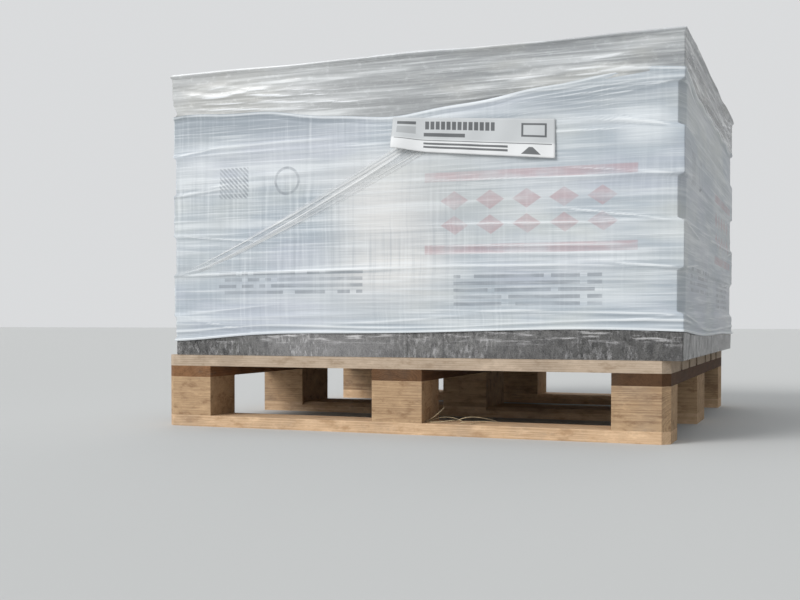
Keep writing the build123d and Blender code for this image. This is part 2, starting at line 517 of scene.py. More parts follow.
# %% [markdown]
# ## How a taut film lies
#
# Stretch film is wound round the load under tension, so it lies flat on whatever stands out and
# pulls straight across what stands back. The courses stand some millimetres to and fro. At a
# corner the film is pressed into the step, and about half a hand further along it has pulled
# nearly straight again. A simulation would need a very fine mesh for that, so the film is a
# formula: for each point round the load and each height, how far out does it lie?

# %% Reach of the courses
courses = [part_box(name) for name in course_names]
step_height = 0.005
sides = {"front": (0, 1, -1), "right": (1, 0, 1), "back": (1, 1, 1), "left": (0, 0, -1)}


def reaches_of(side):
    """How far each course reaches out on a side."""
    low_or_high, axis, sign = sides[side]
    return [sign * box[low_or_high][axis] for box in courses]


def followed(side, z):
    """The film pressed onto every course, stepping between them."""
    reaches = reaches_of(side)
    levels, outs = [courses[0][0][2]], [reaches[0]]
    for lower, upper, box in zip(reaches, reaches[1:], courses[1:]):
        level = box[0][2]
        start, end = (-step_height, 0.0) if upper > lower else (0.0, step_height)
        levels += [level + start, level + end]
        outs += [lower, upper]
    levels.append(courses[-1][1][2])
    outs.append(reaches[-1])
    return np.interp(z, levels, outs)


def bridged(side, z):
    """The film pulled straight from each course that stands out to the next."""
    reaches = reaches_of(side)
    spots = [(box[end][2], reach) for box, reach in zip(courses, reaches) for end in (0, 1)]
    hull = []
    for spot in spots:
        while len(hull) > 1 and ((hull[-1][0] - hull[-2][0]) * (spot[1] - hull[-2][1])
                                 >= (spot[0] - hull[-2][0]) * (hull[-1][1] - hull[-2][1])):
            hull.pop()
        hull.append(spot)
    return np.interp(z, *zip(*hull))


load_base = courses[0][0][2]
load_top = courses[-1][1][2]
course_levels = [box[0][2] for box in courses[1:]]
for side in sides:
    print(side, "reaches", [round(reach, 3) for reach in reaches_of(side)])

# %% [markdown]
# ## A grid round the load
#
# A film becomes a grid: columns round the load and rows up it. A column is a place along one
# side or on the small round of a corner, and the columns stand closer near the corners, where
# the film bends into the steps. Both films share these functions, with a spacing of their own.

# %% Columns round the load
clear_low, clear_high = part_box("clear_wrap")
side_length = clear_high[0] - clear_low[0]
perimeter = 4 * side_length
corner_round = 0.0016
facet_reach = 0.046
near_corner = 0.060
near_step = 0.005


class Columns:
    """The columns of a film: their side, share of it, place on the flat film and way outwards."""

    def __init__(self, step, bends):
        near = np.arange(0, near_corner, near_step)
        middle_count = int(round((side_length - 2 * near_corner) / step))
        middle = np.linspace(near_corner, side_length - near_corner, middle_count)
        shares = np.concatenate([near, middle, side_length - near[::-1]]) / side_length
        angles = np.linspace(0, math.pi / 2, bends + 1)[1:-1]
        self.side = np.repeat(np.arange(4), len(shares) + len(angles))
        self.share = np.tile(np.concatenate([shares, np.ones(len(angles))]), 4)
        self.bend = np.tile(np.concatenate([np.zeros(len(shares)), angles]), 4)
        self.around = (self.side + self.share) * side_length + self.bend * corner_round
        outward = (self.side - 1) * math.pi / 2 + self.bend
        self.out_x, self.out_y = np.cos(outward), np.sin(outward)
        self.from_corner = np.minimum(self.share, 1 - self.share) * side_length
        self.turn = 2 * math.pi * self.around / perimeter
        self.step = step


def film_points(columns, heights, gap, sag, push, standing_off=None):
    """Points of a film at these heights for each column. gap is its distance from the stones, sag how
    much it follows a step in the middle of a side, push its relief outwards, and standing_off how
    far it stands off further on a side."""
    grid_z = np.broadcast_to(heights, push.shape)
    pressed = np.clip(1 - columns.from_corner / facet_reach, sag, 1)
    reach = []
    for side in sides:
        near, far = followed(side, grid_z), bridged(side, grid_z)
        reach.append(far + (near - far) * pressed + gap + (standing_off or {}).get(side, 0.0))
    front, right, back, left = reach
    low = (corner_round - left, corner_round - front)
    high = (right - corner_round, back - corner_round)
    ring = [(low[0], low[1]), (high[0], low[1]), (high[0], high[1]), (low[0], high[1])]
    x, y = np.zeros(push.shape), np.zeros(push.shape)
    for number in range(4):
        here = columns.side == number
        start, end = ring[number], ring[(number + 1) % 4]
        x[:, here] = (start[0] + (end[0] - start[0]) * columns.share)[:, here]
        y[:, here] = (start[1] + (end[1] - start[1]) * columns.share)[:, here]
    x = x + columns.out_x * (corner_round + push)
    y = y + columns.out_y * (corner_round + push)
    return np.stack([x, y, grid_z], axis=-1)


print("a film's flat length round the load is", round(perimeter, 3), "m")

# %% [markdown]
# A grid of points becomes a mesh. Each corner of each face also gets its place on the flat
# sheet, which is what a print or a streak follows. A wound film closes on itself, so its last
# column joins its first, and there its place is given in metres round the load and up it.

# %% Grid to mesh
def sheet_mesh(name, points, quads, flat):
    """A sheet as a mesh. flat gives each corner of each face its place on the flat sheet."""
    mesh = bpy.data.meshes.new(name)
    mesh.vertices.add(points.size // 3)
    mesh.vertices.foreach_set("co", points.reshape(-1).astype("f"))
    mesh.loops.add(quads.size)
    mesh.loops.foreach_set("vertex_index", quads.reshape(-1))
    mesh.polygons.add(len(quads))
    mesh.polygons.foreach_set("loop_start", np.arange(len(quads)) * 4)
    mesh.update(calc_edges=True)
    mesh.uv_layers.new(name="flat").data.foreach_set("uv", flat.reshape(-1).astype("f"))
    mesh.polygons.foreach_set("use_smooth", np.ones(len(quads), bool))
    piece = bpy.data.objects.new(name, mesh)
    bpy.context.collection.objects.link(piece)
    print(name, "has", 2 * len(quads), "triangles")
    return piece


def closed_grid(name, columns, points, up, creases):
    """A sheet that goes round the load. up is each point's way up the flat film, and creases how
    sharply it bends there, or a given mark of painted light or shade, which the film's surface reads."""
    rows, count = points.shape[:2]
    index = np.arange(rows * count).reshape(rows, count)
    after = np.roll(index, -1, axis=1)
    quads = np.stack([index[:-1], after[:-1], after[1:], index[1:]], axis=-1).reshape(-1, 4)
    u = np.broadcast_to(columns.around, (rows, count))
    u_after = np.concatenate([u[:, 1:], np.full((rows, 1), perimeter)], axis=1)
    up_after = np.roll(up, -1, axis=1)
    flat_u = np.stack([u[:-1], u_after[:-1], u_after[1:], u[1:]], axis=-1)
    flat_v = np.stack([up[:-1], up_after[:-1], up_after[1:], up[1:]], axis=-1)
    piece = sheet_mesh(name, points, quads, np.stack([flat_u, flat_v], axis=-1))
    mark = piece.data.attributes.new("crest", "FLOAT", "POINT")
    mark.data.foreach_set("value", creases.reshape(-1).astype("f"))
    return piece


print("grid helpers ready")

# %% [markdown]
# ## Relief of a wound film
#
# Two kinds of relief make film look like film. Long shallow hills run round the load, where
# neighbouring turns of film are stretched unequally. Folds start where the film is pinched, at
# corners and steps, and run out as they go along. The hills are smooth random heights on a
# coarse grid, and a fold is a narrow rounded ridge along a straight line, tapered at both ends.
# A steep fold is kept wider than the columns stand apart, or it would break up into beads.

# %% Hills and folds
def eased(x):
    """A number held between 0 and 1, and eased at both ends."""
    x = np.clip(x, 0, 1)
    return x * x * (3 - 2 * x)


def bump_at(x, middle, width):
    """A rounded bump of height 1 with its top at this place."""
    return np.exp(-(((x - middle) / width) ** 2))


def hills(rng, u, v, long, high):
    """Smooth random heights from -1 to 1. Each hill is about this long round the load and this high up."""
    across = int(round(perimeter / long))
    rows = int(np.ceil(np.ptp(v) / high)) + 2
    peaks = rng.uniform(-1, 1, (rows, across))
    x, y = u / perimeter * across, (v - v.min()) / high
    i, j = np.floor(x).astype(int), np.floor(y).astype(int)
    share_x, share_y = eased(x - i), eased(y - j)
    lower = peaks[j, i % across] * (1 - share_x) + peaks[j, (i + 1) % across] * share_x
    upper = peaks[j + 1, i % across] * (1 - share_x) + peaks[j + 1, (i + 1) % across] * share_x
    return lower * (1 - share_y) + upper * share_y


def fold(u, v, start, end, width, height, step):
    """A rounded ridge from one place on the flat film to another. step is the columns' spacing."""
    run_u, run_v = end[0] - start[0], end[1] - start[1]
    length = math.hypot(run_u, run_v)
    width = max(width, 0.8 * step * abs(run_v) / length)
    off_u = (u - start[0] + perimeter / 2) % perimeter - perimeter / 2
    off_v = v - start[1]
    share = (off_u * run_u + off_v * run_v) / length**2
    aside = (off_u * run_v - off_v * run_u) / length
    return height * eased(share / 0.2) * eased((1 - share) / 0.5) * bump_at(aside, 0, width)


def crest(relief, up):
    """How sharply the film bends outwards at each point, going up, in one over metres."""
    bend = np.zeros(relief.shape)
    spacing = (up[2:] - up[:-2]) / 2
    bend[1:-1] = (2 * relief[1:-1] - relief[:-2] - relief[2:]) / spacing**2
    return bend


def front_place(x, z):
    """Place on the flat film of a spot on the front."""
    return x - clear_low[0], z


print("film relief ready")

# %% [markdown]
# ## The white film
#
# The white band is wound last. Its lower hem is rolled into a thin rope that sags between the
# corners. Its upper hem dips where the tail of the film pulls it down and rises to the front's
# right corner. Most of the band is drawn smooth, with broad soft hills. Some folds run nearly
# level, a few spread from the corners, and on the front a bundle of them rises from the label
# to the top right corner. The rows of points stay nearly level there too, and only the topmost
# ones rise with the hem, because a level fold over slanted rows would break up into beads.

# %% White film's hems
white_step, white_bends, white_rows = 0.0096, 5, 172
lower_level, upper_level = 0.188, 0.624
corner_drop, tail_dip, right_rise = 0.014, 0.030, 0.026
tail_dip_at, right_rise_at = -0.03, 0.465

white = Columns(white_step, white_bends)
rng = np.random.default_rng(11)
row_share = np.linspace(0, 1, white_rows)[:, None]
hem_low = lower_level + 0.007 * np.sin(white.turn * 2 - 0.7) + 0.003 * np.sin(white.turn * 5 + 1.0)
hem_low -= corner_drop * (bump_at(white.around, 0, 0.16) + bump_at(white.around, perimeter, 0.16))


def upper_hem(columns):
    """How high the white film's upper hem lies, and how much of that is its rise to the front's right."""
    hem = upper_level + 0.003 * np.sin(columns.turn * 3 + 0.4) + 0.0016 * np.sin(columns.turn * 23)
    hem -= tail_dip * bump_at(columns.around, front_place(tail_dip_at, 0)[0], 0.20)
    rise = right_rise * bump_at(columns.around, front_place(right_rise_at, 0)[0], 0.17)
    return hem + rise, rise


hem_high, hem_rise = upper_hem(white)
film_v = hem_low + (hem_high - hem_rise - hem_low) * row_share + hem_rise * row_share**6
film_u = np.broadcast_to(white.around, film_v.shape)
print("the white film reaches from", round(film_v.min(), 3), "to", round(film_v.max(), 3), "m")

# %% White film's hills and scattered folds
level_folds = 44
climb = 0.012 * np.sin(white.turn + 0.8)
relief = 0.0009 + 0.00045 * hills(rng, film_u, film_v + climb, 0.85, 0.042)
calm = eased(0.5 + hills(rng, film_u, film_v, 0.30, 0.060))
relief += 0.00026 * calm * hills(rng, film_u, film_v + climb, 0.50, 0.0125)
relief += 0.00009 * hills(rng, film_u, film_v + climb, 0.22, 0.0080)

for _ in range(level_folds):
    start = (rng.uniform(0, perimeter), rng.uniform(0.20, 0.60))
    run = rng.choice([-1, 1]) * rng.uniform(0.25, 0.80)
    end = (start[0] + run, start[1] + rng.normal(0, 0.006) + 0.02 * run)
    width, height = rng.uniform(0.0026, 0.0055), rng.uniform(0.0004, 0.0011)
    relief += fold(film_u, film_v, start, end, width, height, white.step)
for number in range(4):
    corner = number * side_length
    for level in course_levels:
        for towards in (-1, 1, 1, -1):
            end = (corner + towards * rng.uniform(0.12, 0.34), level + rng.normal(0, 0.022))
            height = rng.uniform(0.0004, 0.0012)
            relief += fold(film_u, film_v, (corner, level), end, 0.0030, height, white.step)
print("deepest scattered fold", round(1000 * float(relief.max()), 1), "mm")

# %% White film's folds on the front
label_corner = (-0.01, 0.590)
right_corner = (0.515, 0.642)
fold_width = 0.0034
for part in np.linspace(0, 1, 6):
    start = front_place(label_corner[0] - 0.10 * part, label_corner[1] - 0.020 * part)
    end = front_place(right_corner[0], right_corner[1] - 0.050 * part)
    relief += fold(film_u, film_v, end, start, fold_width, 0.0012 - 0.0005 * part, white.step)
from_right = (0.384, 0.344, 0.330, 0.308, 0.226, 0.464, 0.544)
for z, towards in [(z, 1) for z in from_right] + [(0.304, -1)]:
    start = front_place(0.50 * towards, z)
    end = front_place(-0.10 * towards, z + 0.010)
    relief += fold(film_u, film_v, start, end, fold_width, 0.0010, white.step)
print("deepest white fold", round(1000 * float(relief.max()), 1), "mm")

# %% White film's ropes and mesh
white_gap = 0.0010
film_sag = 0.20
ropes = ((0.0020, 0.0030, 0.0030), (0.0145, 0.0013, 0.0034), (0.0290, 0.0008, 0.0046))
for height, strength, width in ropes:
    swell = 1 + 0.7 * hills(rng, white.around[None, :], np.zeros((1, len(white.side))), 0.20, 1)[0]
    rope = hem_low + height * (1 + 0.35 * np.sin(white.turn * 4 + 90 * height))
    relief += strength * swell * bump_at(film_v, rope, width)
relief += 0.0013 * bump_at(film_v, hem_high - 0.003, 0.0036)
relief -= 0.0006 * bump_at(film_v, hem_high - 0.012, 0.0030)
relief = np.maximum(relief, 0.0)

points = film_points(white, film_v, white_gap, film_sag, relief)
printed = closed_grid("printed_film", white, points, film_v, crest(relief, film_v))
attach(printed, "root")
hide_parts("printed_wrap")

# %% [markdown]
# ## The clear film
#
# The clear film goes on first, from the deck to the top, so it shows below the white band, above
# it and over the rim. Under the white band it is drawn flat, so a few rows of points do there. It
# has more folds than the white film: they spread from the top corners, stand up from the deck
# and, on the front, fan out from above the label. Near the top of the left side it stands off.

# %% Clear film's rows
clear_step, clear_bends = 0.0062, 26
strip_end, hidden_start, hidden_end, top_start = 0.218, 0.219, 0.574, 0.575
strip_row, top_row = 0.0040, 0.0034

clear = Columns(clear_step, clear_bends)
rng = np.random.default_rng(5)
hidden_rows = [level + off for level in course_levels if 0.22 < level < 0.57
               for off in (-0.040, -0.0075, -step_height, 0.0, step_height, 0.0075)]
heights = np.concatenate([
    np.arange(load_base + 0.0004, strip_end, strip_row),
    [row for row in hidden_rows if hidden_start < row < hidden_end],
    np.arange(top_start, load_top - 0.002, top_row),
])[:, None]
wall_v = np.broadcast_to(heights, (len(heights), len(clear.side)))
wall_u = np.broadcast_to(clear.around, wall_v.shape)
print("clear film's wall has", len(heights), "rows")

# %% Clear film's folds
corner_folds, foot_folds = 15, 110
fan_width, foot_width = 0.0036, 0.0050
relief = 0.0004 + 0.00028 * hills(rng, wall_u, wall_v, 0.55, 0.030)
relief += 0.00016 * hills(rng, wall_u, wall_v, 0.35, 0.011)
for number in range(4):
    for towards in (-1, 1):
        corner = number * side_length
        for _ in range(corner_folds):
            start = (corner, load_top - rng.uniform(0.002, 0.080))
            end = (corner + towards * rng.uniform(0.20, 0.75), load_top - rng.uniform(0.002, 0.095))
            width, height = rng.uniform(0.0028, 0.0048), rng.uniform(0.0003, 0.0010)
            relief += fold(wall_u, wall_v, start, end, width, height, clear.step)
for part in np.linspace(0, 1, 7):
    start = front_place(label_corner[0] + 0.08 * part, label_corner[1] + 0.012 + 0.018 * part)
    end = front_place(right_corner[0], right_corner[1] + 0.002 + 0.046 * part)
    relief += fold(wall_u, wall_v, end, start, fan_width, 0.0012 - 0.0006 * part, clear.step)
from_left = ((0.630, -0.03, 0.600), (0.641, 0.06, 0.606), (0.652, 0.12, 0.617), (0.664, 0.02, 0.640))
for z, end_x, end_z in from_left:
    start, end = front_place(-0.51, z), front_place(end_x, end_z)
    relief += fold(wall_u, wall_v, start, end, fan_width, 0.0011, clear.step)
for _ in range(foot_folds):
    start = (rng.uniform(0, perimeter), load_base + rng.uniform(-0.01, 0.02))
    end = (start[0] + rng.normal(0, 0.014), start[1] + rng.uniform(0.03, 0.07))
    relief += fold(wall_u, wall_v, start, end, foot_width, rng.uniform(0.0003, 0.0010), clear.step)
print("deepest clear fold", round(1000 * float(relief.max()), 1), "mm")

# %% Clear film's wall
clear_gap, puff = 0.0003, 0.0085
covered = eased((wall_v - 0.212) / 0.02) * eased((upper_hem(clear)[0] - 0.012 - wall_v) / 0.016)
relief = np.maximum(relief, 0.0) * (1 - covered) + 0.0001 * covered
puffed = puff * eased((wall_v - 0.632) / 0.02) * (1 + 0.3 * hills(rng, wall_u, wall_v, 0.15, 0.05))
wall = film_points(clear, wall_v, clear_gap, film_sag, relief, {"left": puffed})
print("the left side's rim stands off by up to", round(1000 * float(puffed.max()), 1), "mm")

# %% [markdown]
# At the top the clear film turns over the edge in a small puffed roll, and then it has too much
# length for the smaller way round. So it gathers into little waves that grow towards the middle,
# and into pleats at the corners. Each row of this lap is one ring of points further in, and it
# starts where the wall ends: the small lean between the two fades out over the first rows.

# %% Gathers and pleats of the lap
lap_width = 0.122
around = clear.around[None, :]
level = np.zeros_like(around)
roll = 0.0034 + 0.0014 * hills(rng, around, level, 0.13, 1)[0]
gathers = hills(rng, around, level, 0.050, 1)[0] + 0.6 * hills(rng, around, level, 0.024, 1)[0]
drawn_in = 1.0 + 0.16 * hills(rng, around, level, 0.40, 1)[0] + 0.07 * hills(rng, around, level, 0.13, 1)[0]
drawn_in += 0.03 * hills(rng, around, level, 0.045, 1)[0]
first_phase, second_phase = rng.uniform(0, 6, (2, 4))[:, clear.side]
uneven_bend = 14 * clear.bend + 1.7 * np.sin(5 * clear.bend + second_phase)
corner_pleats = 0.56 * np.cos(uneven_bend + first_phase) + 0.40 * np.cos(23 * clear.bend + second_phase)
corner_pleats *= np.sqrt(np.sin(2 * clear.bend))
shortest, longest = lap_width * drawn_in.min(), lap_width * drawn_in.max()
print("the lap is drawn in by", round(shortest, 3), "to", round(longest, 3), "m")

# %% Clear film's rim
top_half = (courses[-1][1] - courses[-1][0]) / 2
top_middle = (courses[-1][1] + courses[-1][0]) / 2
roll_angles = np.radians(np.linspace(-35, 190, 9))
lap_steps = np.linspace(0, 1, 24)[1:]


def over_rim(inward, lift):
    """A row of the film that lies this far in from the top edge and this high over the stones."""
    corner = corner_round + 1.05 * np.maximum(inward, 0)
    half_x, half_y = top_half[0] - inward - corner, top_half[1] - inward - corner
    swing = 2 * clear.share - 1
    x = np.choose(clear.side, [half_x * swing, half_x, -half_x * swing, -half_x])
    y = np.choose(clear.side, [-half_y, half_y * swing, half_y, -half_y * swing])
    return np.stack([x + corner * clear.out_x + top_middle[0], y + corner * clear.out_y + top_middle[1],
                     load_top + lift], axis=-1)


rim_rows = [(-roll * (0.35 + 0.65 * np.cos(angle)), roll * (0.8 + np.sin(angle))) for angle in roll_angles]
for step in lap_steps:
    inward = lap_width * step * (drawn_in + 0.06 * corner_pleats)
    waves = np.clip(0.7 + 0.8 * (gathers + corner_pleats), 0.05, 2)
    rim_rows.append((0.003 + inward, 0.0008 + 0.0056 * step**1.1 * waves))
lean = wall[-1] - over_rim(np.zeros(clear.side.shape), np.zeros(clear.side.shape))
lean[:, 2] = 0
fading = [max(0.0, 1 - number / 10) for number in range(len(rim_rows))]
top_rows = np.array([over_rim(*row) + lean * share for row, share in zip(rim_rows, fading)])
top_v = np.array([load_top + 0.005 + np.broadcast_to(inward, clear.side.shape) for inward, _ in rim_rows])
print("the rim and the lap have", len(rim_rows), "rows")

# %% Clear film's mesh
# Crest marks that paint light: highlight atop the roll, a shade line below it, light and shade on the lap.
rim_highlight, rim_shade_line, lap_shading = 75.0, -168.0, 140.0
wall_crest = crest(relief, wall_v)
wall_crest[-1:] = rim_shade_line
rim_crest = np.zeros((len(roll_angles), len(clear.side)))
rim_crest[2:7] = rim_highlight
lap_crest = [lap_shading * (gathers + 0.8 * corner_pleats) * step**0.6 for step in lap_steps]

points = np.concatenate([wall, top_rows])
up = np.concatenate([wall_v, top_v])
creases = np.concatenate([wall_crest, rim_crest, lap_crest])
clear_film = closed_grid("clear_film", clear, points, up, creases)
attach(clear_film, "root")
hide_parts("clear_wrap")

# %% [markdown]
# ## Tail and label
#
# The film's loose end runs down the front as a ribbon that narrows to a cord, and a paper label
# hangs where it starts, with its lower left corner curling away. Part of the white film's colour
# couldn't do that, so both are small grids of their own, laid just over that film. A smoothed row
# of spots gives the tail its slightly bent run, and four corners give the label its place.

# %% Grid on the front
def front_grid(name, x, z, stand_off):
    """A sheet on the front: rows of x and z, and how far it stands off the film behind."""
    points = np.stack([x, -(bridged("front", z) + stand_off), z], axis=-1)
    rows, count = x.shape
    index = np.arange(rows * count).reshape(rows, count)
    quads = np.stack([index[:-1, :-1], index[:-1, 1:], index[1:, 1:], index[1:, :-1]], axis=-1).reshape(-1, 4)
    u, v = np.meshgrid(np.linspace(0, 1, count), np.linspace(0, 1, rows))
    flat = np.stack([u, v], axis=-1).reshape(-1, 2)
    return sheet_mesh(name, points, quads, flat[quads.reshape(-1)])


print("grid on the front ready")

# %% Tail of the film
tail_spots = np.array([(0.095, 0.566), (0.014, 0.522), (-0.068, 0.481), (-0.196, 0.416), (-0.304, 0.367),
                       (-0.408, 0.322), (-0.478, 0.297)])
tail_columns, tail_rows, smoothings = 120, 21, 200
tail_half, tail_narrowing = 0.026, 0.017
run = np.concatenate([[0], np.cumsum(np.hypot(*np.diff(tail_spots, axis=0).T))])
along = np.linspace(0, 1, tail_columns)
line = np.array([np.interp(along * run[-1], run, tail_spots[:, axis]) for axis in (0, 1)])
for _ in range(smoothings):
    line[:, 1:-1] = (line[:, :-2] + 2 * line[:, 1:-1] + line[:, 2:]) / 4
way_x, way_z = np.gradient(line, axis=1) / np.hypot(*np.gradient(line, axis=1))
across = np.linspace(-1, 1, tail_rows)[:, None]
half_wide = tail_half - tail_narrowing * along**0.9
ridges = np.cos(across * 8.0 + 3.0 * along) + 0.5 * np.cos(across * 15.0 - 4.0 * along)
tail_off = 0.0014 + 0.0018 * np.sqrt(1 - across**2) + 0.0005 * ridges * (1 - across**2)
tail_x, tail_z = line[0] + across * half_wide * way_z, line[1] - across * half_wide * way_x
tail = front_grid("film_tail", tail_x, tail_z, tail_off)
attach(tail, "root")

# %% Label
label_x = np.array([[-0.0065, 0.3008], [-0.0065, 0.3005]])
label_z = np.array([[0.530, 0.499], [0.592, 0.569]])
label_columns, label_rows = 80, 26
curl_height, paper_thickness = 0.010, 0.0003
across, up = np.linspace(0, 1, label_columns)[None, :], np.linspace(0, 1, label_rows)[:, None]


def between(corners):
    """A value for each point of the label, from its values at the corners."""
    lower = corners[0, 0] * (1 - across) + corners[0, 1] * across
    upper = corners[1, 0] * (1 - across) + corners[1, 1] * across
    return lower * (1 - up) + upper * up


curl = curl_height * eased(1 - np.hypot(across * 4.2, up))
waves = 0.0006 * np.sin(across * 17 + up * 2) + 0.0005 * np.sin(across * 31 - up * 3 + 1)
label_off = 0.0040 + 0.0030 * (1 - up) + waves + curl
label = front_grid("paper_label", between(label_x), between(label_z) + 0.4 * curl, label_off)
thicken = label.modifiers.new("thickness", "SOLIDIFY")
thicken.thickness = paper_thickness
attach(label, "root")
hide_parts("label")

# %% [markdown]
# ## What the white film looks like
#
# One turn of white film is see-through, but so many turns hide the stones. So the surface is
# solid here, and only its tone wanders, from blue to cream. Fine lines of painted highlight and
# painted shade run along it, where it was stretched, and two families of them cross at a small
# angle, because the turns climb and fall. Creases that bend outwards are painted whiter, partly
# the film's own whitening and partly painted highlight, and hollow ones get painted shade. The
# noise patterns are drawn out along the film, and the mesh's own bend gives the creases.

# %% Place on a film, and its fine lines
def film_place(film):
    """The place on the flat sheet: a vector, and its two numbers apart. They are metres on a film
    that goes round the load, and shares from 0 to 1 on the tail and the label."""
    flat = film.node("UVMap", uv_map="flat").outputs[0]
    split = film.node("SeparateXYZ", {0: flat}).outputs
    return flat, split[0], split[1]


def fine_lines(film, flat, turn, shift):
    """Bright and dark lines along the film, as two numbers: broad, narrow and very narrow ones."""
    bright, dark = [], []
    for scale, share in ((38.0, 1.0), (120.0, 0.8), (300.0, 0.6)):
        noise = film.noise(flat, (1.4 + scale / 60, scale), detail=2.0, turn=turn, shift=shift)
        bright.append(film.ramp(noise, 0.52, 0.74, 0.0, share))
        dark.append(film.ramp(noise, 0.48, 0.26, 0.0, share))
    return film.plus(*bright, clamp=True), film.plus(*dark, clamp=True)


print("film lines ready")

# %% [markdown]
# The print is a faint generic design, and it comes again on each side of the load: two red
# stripes with diamonds between them, a ring, a hatched square, and ruled bars with gaps. Each
# motif is a sum of bands, so it needs no picture, and folds and wear cross it as they do the film.

# %% Print
def print_pattern(film, u, v):
    """How strong the faint print is at a place: its red and its grey. It repeats on each side."""
    along = film.times(film.calc("FRACT", film.calc("DIVIDE", u, side_length)), side_length)
    across_cell = film.cells(film.minus(along, 0.565), 0.068)
    up_cell = film.cells(film.minus(v, 0.365), 0.045)
    diamonds = film.times(film.patch(along, v, (0.565, 0.905), (0.365, 0.455)),
                          film.ramp(film.plus(across_cell, up_cell), 0.36, 0.42, 1.0, 0.0))
    stripes = [film.patch(along, v, (0.540, 0.930), rows) for rows in ((0.335, 0.352), (0.468, 0.485))]
    red = film.plus(diamonds, *stripes, clamp=True)

    off_u, off_v = film.minus(along, 0.255), film.minus(v, 0.485)
    from_ring = film.calc("SQRT", film.plus(film.times(off_u, off_u), film.times(off_v, off_v)))
    ring = film.band(from_ring, 0.0225, 0.0275)
    hatch = film.ramp(film.cells(film.plus(along, v), 0.0090), 0.18, 0.28)
    square = film.times(film.patch(along, v, (0.105, 0.170), (0.455, 0.515)), hatch)
    row, part = film.calc("DIVIDE", v, 0.0125), film.calc("DIVIDE", along, 0.013)
    spot = film.node("CombineXYZ", {0: film.calc("FLOOR", part), 1: film.calc("FLOOR", row)}).outputs[0]
    kept = film.node("TexWhiteNoise", {"Vector": spot}, noise_dimensions="2D").outputs[0]
    blocks = film.plus(film.patch(along, v, (0.104, 0.416), (0.2625, 0.3125)),
                       film.patch(along, v, (0.598, 0.871), (0.2375, 0.3000)))
    bars = film.times(blocks, film.ramp(kept, 0.16, 0.18),
                      film.ramp(film.cells(v, 0.0125), 0.22, 0.30, 1.0, 0.0))
    return red, film.plus(ring, square, bars, clamp=True)


print("the print comes again every", round(side_length, 3), "m")

# %% White film's surface
cold_white = (0.42, 0.467, 0.510)
warm_white = (0.60, 0.625, 0.645)
warm_patch_white = (0.77, 0.745, 0.720)
violet_white = (0.50, 0.52, 0.60)
cream_white = (0.61, 0.625, 0.585)
white_highlight = (0.86, 0.88, 0.89)
white_shadow = (0.30, 0.335, 0.37)
print_red = (0.47, 0.30, 0.32)
print_grey = (0.24, 0.26, 0.29)


def printed_film_surface():
    """White film, soft and cold, with brighter creases and a faint print."""
    material, film = new_recipe("white_printed_film")
    flat, u, v = film_place(film)
    crease = film.node("Attribute", attribute_name="crest").outputs["Fac"]
    broad = film.noise(flat, (2.4, 7.0), shift=(4, 2))
    hue = film.noise(flat, (2.6, 6.0), roughness=0.6, shift=(11, 3))
    upright = film.noise(flat, (135.0, 5.0), detail=2.0, shift=(7, 1))
    here_and_there = film.noise(flat, (2.0, 5.0), detail=2.0, shift=(6, 6))
    # Where the upright hatch shows. Its light and dark lines are painted highlight and painted shade.
    crossed = film.times(film.ramp(here_and_there, 0.40, 0.62, 0.35, 1.0),
                         film.ramp(u, 0.50, 0.85, 1.0, 0.45))
    # Two families of fine lines: bright ones are painted highlight, dark ones painted shade.
    bright_lines, dark_lines = fine_lines(film, flat, 0.035, (3, 1))
    bright_others, dark_others = fine_lines(film, flat, -0.06, (9, 4))
    some = film.ramp(film.noise(flat, (3.0, 9.0), shift=(1, 5)), 0.42, 0.62)
    # A warmer, paler patch in the middle of the front.
    warm_patch = film.patch(u, v, (0.37, 0.57), (0.25, 0.49), 0.07, 0.07)
    # Painted shade below the upper hem: on the left of the front, and near its right corner.
    shade_below_hem = film.plus(film.times(film.ramp(v, 0.548, 0.600), film.ramp(u, 0.50, 0.30)),
                          film.patch(u, v, (0.74, 1.0), (0.586, 0.626), 0.07, 0.014))
    # Painted shade in a soft spot below the label.
    shaded_spot = film.patch(u, v, (0.50, 0.70), (0.37, 0.50), 0.05, 0.04)
    # Painted highlights in two small spots, near the front's left and right edges.
    painted_gleams = film.plus(film.patch(u, v, (0.035, 0.095), (0.515, 0.540), 0.030, 0.014),
                       film.patch(u, v, (0.900, 0.985), (0.515, 0.580), 0.030, 0.018))
    red, grey = print_pattern(film, u, v)
    worn = film.ramp(film.noise(flat, (14.0, 40.0), detail=4.0), 0.36, 0.62, 0.45, 1.0)
    colour = film.paint(
        cold_white,
        (film.ramp(broad, 0.38, 0.66), warm_white),
        (film.ramp(hue, 0.50, 0.66, 0.0, 0.45), violet_white),
        (film.ramp(hue, 0.50, 0.34, 0.0, 0.45), cream_white),
        (film.times(warm_patch, 0.80), warm_patch_white),
        (film.times(shade_below_hem, 0.75), white_shadow),
        (film.times(shaded_spot, 0.32), white_shadow),
        (film.times(painted_gleams, 0.50), white_highlight),
        (film.times(bright_lines, 0.45), white_highlight),
        (film.times(dark_lines, 0.30), white_shadow),
        (film.times(bright_others, some, 0.50), white_highlight),
        (film.times(dark_others, some, 0.25), white_shadow),
        (film.times(red, worn, 0.58), print_red),
        (film.times(grey, worn, 0.66), print_grey),
        (film.times(crossed, film.ramp(upright, 0.50, 0.72, 0.0, 0.28)), white_highlight),
        (film.times(crossed, film.ramp(upright, 0.50, 0.28, 0.0, 0.28)), white_shadow),
        # Outward creases: part whitening, part painted highlight. Hollow creases: painted shade.
        (film.ramp(crease, 15.0, 120.0, 0.0, 0.60), white_highlight),
        (film.ramp(crease, -15.0, -110.0, 0.0, 0.45), white_shadow),
    )
    height = film.plus(bright_lines, film.times(bright_others, some))
    film.show(film.surface(colour, 0.38, gleam=0.25, bump=(height, 0.45, 0.0005)))
    return material


printed.data.materials.append(printed_film_surface())
print("the white film has its surface")

